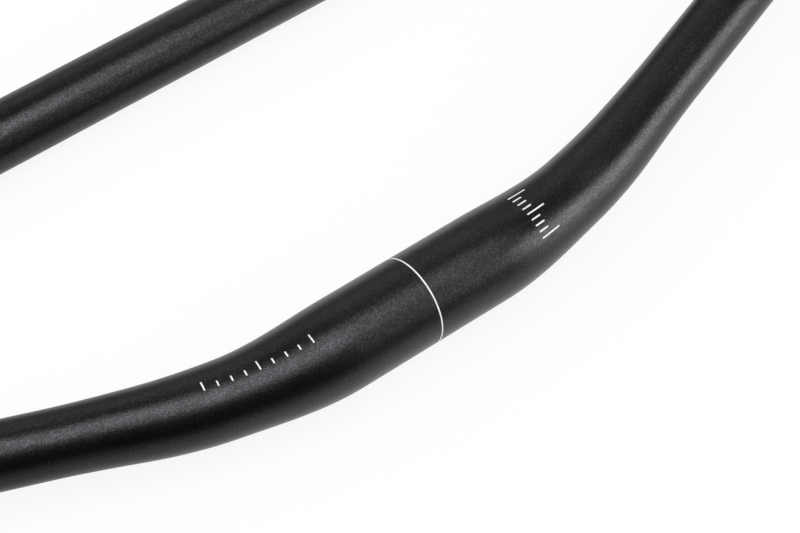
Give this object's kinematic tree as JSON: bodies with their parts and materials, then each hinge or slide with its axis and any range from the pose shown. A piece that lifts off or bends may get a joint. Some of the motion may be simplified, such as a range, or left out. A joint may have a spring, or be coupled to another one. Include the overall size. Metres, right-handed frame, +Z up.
{
  "type": "bikepacking handlebar",
  "caption": "Swept aluminium touring handlebar with a bulged stem clamp seat, swaged arms and a welded front loop that carries bags and lights.",
  "frame": {"origin": "middle of the stem clamp seat, on its axis", "axes": "+X along the clamp seat to the rider's right, +Y forward, +Z up"},
  "size_m": [0.8074, 0.1565, 0.0464],
  "materials": {
    "black_anodised": "fine bead-blasted and anodised black",
    "white_print": "thin white printed marks on the clamp seat and the swages"
  },
  "bodies": {
    "root": {"bar_tube": "black_anodised", "front_loop": "black_anodised", "weld_beads": "black_anodised"}
  },
  "joints": []
}
